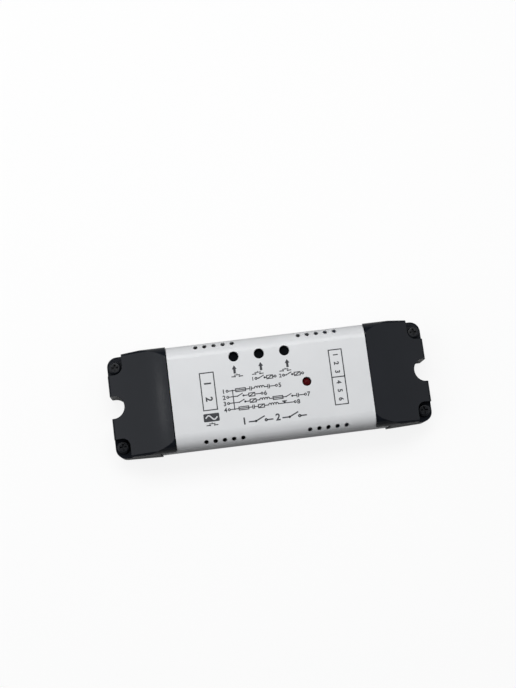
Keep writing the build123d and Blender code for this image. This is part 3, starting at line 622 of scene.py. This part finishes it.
# The camera, fitted to the photograph: place in millimetres, turn in degrees
CAMERA_AT = (-24.0862, -48.9800, 449.1702)
CAMERA_TURN = (8.92499, -1.74024, -7.19024)
CAMERA_LENS = 61.1747
CAMERA_SENSOR = 36.0
CAMERA_NEAR, CAMERA_FAR = 0.005, 20.0

# name, direction from the part, distance, width, height, level, colour
LIGHTS = (
    ("left", (-0.77, 0.05, 0.64), 0.70, 0.80, 0.60, 1.6, (0.97, 0.985, 1.0)),
    ("right", (0.77, 0.05, 0.64), 0.70, 0.80, 0.60, 0.95, (0.98, 0.99, 1.0)),
    ("back", (0.0, 0.42, 0.90), 0.62, 0.46, 0.24, 6.1, (1.0, 0.998, 0.992)),
    ("strip", (-0.640, 0.103, 0.763), 0.60, 0.032, 0.014, 11.0, (1.0, 1.0, 1.0)),
)
WORLD_LEVEL = 0.06
HORIZON_LEVEL = 0.54
HORIZON = (0.06, 0.14)      # between these heights the horizon's light fades out
FLOOR_HALF = 3.0
FLOOR_DROP = 0.02 * MM
FLOOR_SHOWN_SHARE = 0.85    # plain white, as the camera sees it; the rest is lit and keeps the shadow
FLOOR_LIT = 0.95
FLOOR_MIRRORED = 0.42
FLOOR_BOUNCE = 0.21


def make_camera():
    camera = bpy.data.cameras.new("camera")
    camera.lens = CAMERA_LENS
    camera.sensor_width = CAMERA_SENSOR
    camera.sensor_fit = "AUTO"
    camera.clip_start, camera.clip_end = CAMERA_NEAR, CAMERA_FAR
    holder = bpy.data.objects.new("camera", camera)
    holder.location = Vector(CAMERA_AT) * MM
    holder.rotation_euler = Euler([math.radians(turn) for turn in CAMERA_TURN], "XYZ")
    bpy.context.scene.collection.objects.link(holder)
    bpy.context.scene.camera = holder


def make_light(name, direction, distance, width, height, level, colour):
    """A soft rectangle aimed at the part; level is its brightness as seen."""
    light = bpy.data.lights.new(name, "AREA")
    light.shape = "RECTANGLE"
    light.size, light.size_y = width, height
    light.energy = level * width * height * math.pi
    light.color = colour
    holder = bpy.data.objects.new(name, light)
    direction = Vector(direction).normalized()
    holder.location = direction * distance
    holder.rotation_euler = direction.to_track_quat("Z", "Y").to_euler()
    bpy.context.scene.collection.objects.link(holder)


def make_world():
    """White to the camera; what lights the part is dim, and paler round the horizon."""
    world = bpy.data.worlds.new("studio")
    bpy.context.scene.world = world
    world.use_nodes = True
    tree = world.node_tree
    way = node(tree, "ShaderNodeTexCoord").outputs["Generated"]
    up = node(tree, "ShaderNodeSeparateXYZ", {"Vector": way}).outputs["Z"]
    tone = blend_colours(tree, up, (HORIZON_LEVEL,) * 3, (WORLD_LEVEL,) * 3, *HORIZON)
    camera_ray = node(tree, "ShaderNodeLightPath").outputs["Is Camera Ray"]
    shown = node(tree, "ShaderNodeMix", {MIX_FACTOR: camera_ray, MIX_FIRST: tone, MIX_SECOND: grey(1.0)},
                 data_type="RGBA")
    tree.links.new(shown.outputs[MIX_RESULT], tree.nodes["Background"].inputs["Color"])


def make_floor():
    """White with a shadow to the camera, greyer in reflections, and a weak bounce on the part."""
    material = bpy.data.materials.new("floor")
    material.use_nodes = True
    tree = material.node_tree
    tree.nodes.remove(tree.nodes["Principled BSDF"])
    rays = node(tree, "ShaderNodeLightPath").outputs
    camera_ray = rays["Is Camera Ray"]
    mirrored_ray = maths(tree, "MAXIMUM", rays["Is Glossy Ray"], rays["Is Transmission Ray"])
    seen = maths(tree, "MAXIMUM", camera_ray, mirrored_ray)
    white = node(tree, "ShaderNodeEmission", {"Color": grey(1.0)}).outputs["Emission"]
    lit = mix_shaders(tree, camera_ray, diffuse(tree, FLOOR_MIRRORED), diffuse(tree, FLOOR_LIT))
    shown = mix_shaders(tree, maths(tree, "MULTIPLY", camera_ray, FLOOR_SHOWN_SHARE), lit, white)
    surface = mix_shaders(tree, seen, diffuse(tree, FLOOR_BOUNCE), shown)
    tree.links.new(surface, tree.nodes["Material Output"].inputs["Surface"])
    shape = bpy.data.meshes.new("floor")
    sides = ((-1, -1), (1, -1), (1, 1), (-1, 1))
    corners = [(x * FLOOR_HALF, y * FLOOR_HALF, -FLOOR_DROP) for x, y in sides]
    shape.from_pydata(corners, [], [(0, 1, 2, 3)])
    shape.materials.append(material)
    floor = bpy.data.objects.new("floor", shape)
    bpy.context.scene.collection.objects.link(floor)


def make_stage():
    """Camera, lights, world and floor."""
    make_camera()
    for row in LIGHTS:
        make_light(*row)
    make_world()
    make_floor()
    bpy.context.scene.view_settings.view_transform = "Standard"


make_stage()
dress_nodes()
make_print()
